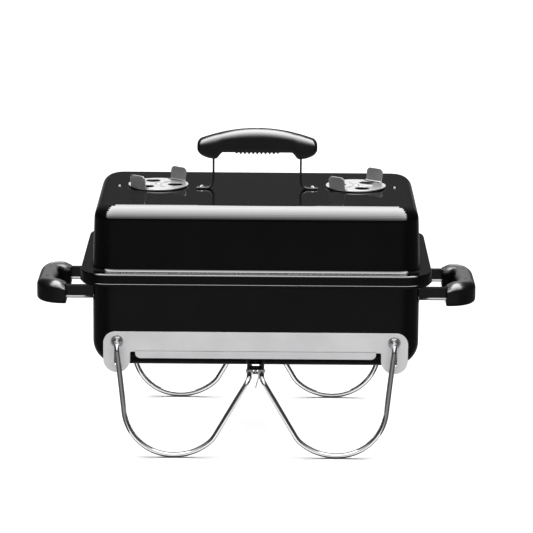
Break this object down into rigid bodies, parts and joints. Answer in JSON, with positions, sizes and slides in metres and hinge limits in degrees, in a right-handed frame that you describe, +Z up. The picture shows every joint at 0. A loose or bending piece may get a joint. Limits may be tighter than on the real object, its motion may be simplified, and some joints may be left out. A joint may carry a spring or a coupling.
{
  "type": "portable charcoal grill",
  "caption": "Portable table-top charcoal grill with a lift-off lid, turning vents, side handles, wire grates and folding wire legs.",
  "frame": {"origin": "centre of the floor rectangle under the grill", "axes": "+X along the long side to the grill's right, +Y to its back, +Z up"},
  "size_m": [0.5334, 0.2832, 0.3747],
  "materials": {
    "enamel": "glossy black porcelain enamel on steel",
    "grip_plastic": "satin black glass-filled nylon",
    "arm_paint": "semi-gloss black paint",
    "damper_aluminium": "bright satin",
    "bracket_steel": "satin plated",
    "rivet_steel": "bright",
    "leg_wire": "polished plating",
    "grate_wire": "plated wire",
    "coal_grate_steel": "plain heavy wire"
  },
  "bodies": {
    "firebox": {"bowl": "enamel", "bowl_damper_rivets": "rivet_steel", "side_handle_bracket_left": "arm_paint", "side_handle_bracket_right": "arm_paint", "side_handle_grip_left": "grip_plastic", "side_handle_grip_right": "grip_plastic", "side_handle_screws": "rivet_steel", "leg_bracket_front": "bracket_steel", "leg_bracket_back": "bracket_steel", "leg_catch_front": "arm_paint", "leg_catch_back": "arm_paint", "leg_clip_front": "bracket_steel", "leg_clip_back": "bracket_steel", "leg_catch_rivets": "rivet_steel", "cooking_grate_ledges": "bracket_steel", "charcoal_grate_posts": "bracket_steel"},
    "lid": {"lid": "enamel", "lid_handle_grip": "grip_plastic", "lid_handle_bracket": "arm_paint", "lid_handle_rivets": "arm_paint", "lid_damper_rivets": "rivet_steel"},
    "lid_damper_left": {"lid_damper_left": "damper_aluminium"},
    "lid_damper_right": {"lid_damper_right": "damper_aluminium"},
    "bowl_damper_left": {"bowl_damper_left": "damper_aluminium"},
    "bowl_damper_right": {"bowl_damper_right": "damper_aluminium"},
    "leg_left": {"leg_left": "leg_wire"},
    "leg_right": {"leg_right": "leg_wire"},
    "cooking_grate": {"cooking_grate": "grate_wire"},
    "charcoal_grate": {"charcoal_grate": "coal_grate_steel"}
  },
  "joints": [
    {"name": "lid_lift", "type": "slide", "parent": "firebox", "child": "lid", "axis": [0, 0, -1], "range_m": [-0.2, 0]},
    {"name": "leg_fold_left", "type": "hinge", "parent": "firebox", "child": "leg_left", "pos_m": [-0.165, 0, 0.138], "axis": [0, 1, 0], "range_deg": [0, 246]},
    {"name": "leg_fold_right", "type": "hinge", "parent": "firebox", "child": "leg_right", "pos_m": [0.165, 0, 0.138], "axis": [0, -1, 0], "range_deg": [0, 246]},
    {"name": "lid_damper_turn_left", "type": "hinge", "parent": "lid", "child": "lid_damper_left", "pos_m": [-0.1205, 0.014, 0.302], "axis": [0, 0, 1], "range_deg": [0, 60]},
    {"name": "lid_damper_turn_right", "type": "hinge", "parent": "lid", "child": "lid_damper_right", "pos_m": [0.1205, 0.014, 0.302], "axis": [0, 0, 1], "range_deg": [0, 60]},
    {"name": "bowl_damper_turn_left", "type": "hinge", "parent": "firebox", "child": "bowl_damper_left", "pos_m": [-0.1205, 0.01, 0.102], "axis": [0, 0, 1], "range_deg": [0, 60]},
    {"name": "bowl_damper_turn_right", "type": "hinge", "parent": "firebox", "child": "bowl_damper_right", "pos_m": [0.1205, 0.01, 0.102], "axis": [0, 0, 1], "range_deg": [0, 60]},
    {"name": "cooking_grate_lift", "type": "slide", "parent": "firebox", "child": "cooking_grate", "axis": [0, 0, 1], "range_m": [0, 0.05]},
    {"name": "charcoal_grate_lift", "type": "slide", "parent": "firebox", "child": "charcoal_grate", "axis": [0, 0, 1], "range_m": [0, 0.05]}
  ]
}
